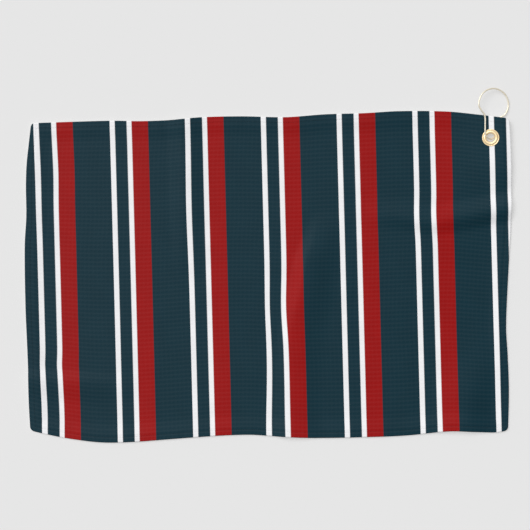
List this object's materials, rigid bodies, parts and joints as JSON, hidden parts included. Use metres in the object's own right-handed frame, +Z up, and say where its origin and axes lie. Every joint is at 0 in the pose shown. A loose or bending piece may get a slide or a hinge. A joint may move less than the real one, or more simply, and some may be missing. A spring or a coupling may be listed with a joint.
{
  "type": "golf towel",
  "caption": "Striped waffle-weave golf towel laid flat, with stitched hems, a corner grommet and a pear-shaped wire ring to hang it by.",
  "frame": {"origin": "centre of the whole part's footprint, on the table that the towel lies on", "axes": "+X along the towel's long side towards the grommet's edge, +Y along its short side towards the ring, +Z up from the table through the printed face"},
  "size_m": [0.6079, 0.4429, 0.0125],
  "materials": {
    "printed_cloth": "matt waffle-weave microfibre, navy print with red and white stripes",
    "cloth_back": "matt white waffle-weave microfibre",
    "thread": "white polyester sewing thread",
    "grommet": "bright rolled brass",
    "ring": "bright pale-gold plated spring wire"
  },
  "bodies": {
    "towel": {"towel_cloth": "printed_cloth", "hem_top": "cloth_back", "hem_bottom": "cloth_back", "hem_left": "cloth_back", "hem_right": "cloth_back", "needle_thread_top": "thread", "needle_thread_bottom": "thread", "needle_thread_left": "thread", "needle_thread_right": "thread", "bobbin_thread_top": "thread", "bobbin_thread_bottom": "thread", "bobbin_thread_left": "thread", "bobbin_thread_right": "thread", "grommet_eyelet": "grommet", "grommet_washer": "grommet"},
    "ring": {"ring_wire": "ring"},
    "gate": {"ring_gate": "ring"}
  },
  "joints": [
    {"name": "ring_swing", "type": "hinge", "parent": "towel", "child": "ring", "pos_m": [0.2776, 0.1592, 0.007], "axis": [-0.0995, 0, 0.995], "range_deg": [-100, 0]},
    {"name": "gate_open", "type": "hinge", "parent": "ring", "child": "gate", "pos_m": [0.28431, 0.16675, 0.00264], "axis": [-0.0995, 0, 0.995], "range_deg": [0, 12], "stiffness_Nm_per_rad": 0.02}
  ]
}
